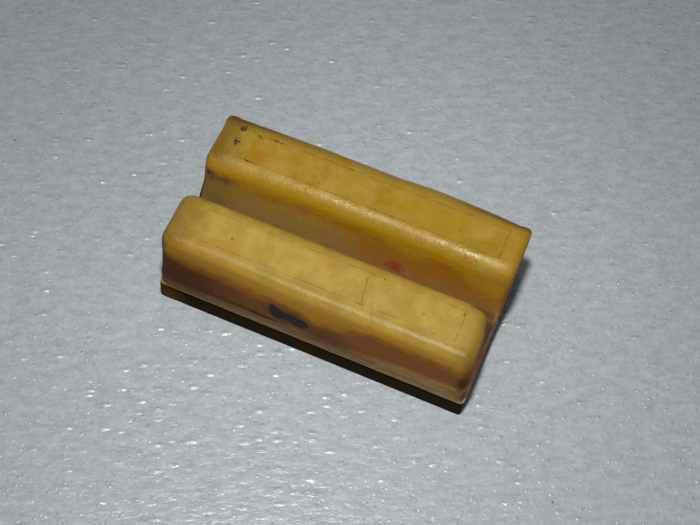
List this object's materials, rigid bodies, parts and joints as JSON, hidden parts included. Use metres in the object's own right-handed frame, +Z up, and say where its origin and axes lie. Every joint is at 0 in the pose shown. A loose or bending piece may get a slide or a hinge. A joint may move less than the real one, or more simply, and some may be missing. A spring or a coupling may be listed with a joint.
{
  "type": "rosin cake",
  "caption": "Block of rosin for bowed strings, cast into a moulded plastic holder with grip ribs and a finger channel along its back, and standing out below its rim.",
  "frame": {"origin": "on the ground under the middle of the playing face, which the cake rests on", "axes": "+Z up, from the playing face to the grip ribs; +X along the ribs; +Y across them"},
  "size_m": [0.06, 0.0326, 0.019],
  "materials": {
    "holder_plastic": "aged translucent plastic, waxy",
    "rosin": "dark translucent rosin, glossy"
  },
  "bodies": {
    "root": {"holder": "holder_plastic", "rosin_cake": "rosin"}
  },
  "joints": []
}
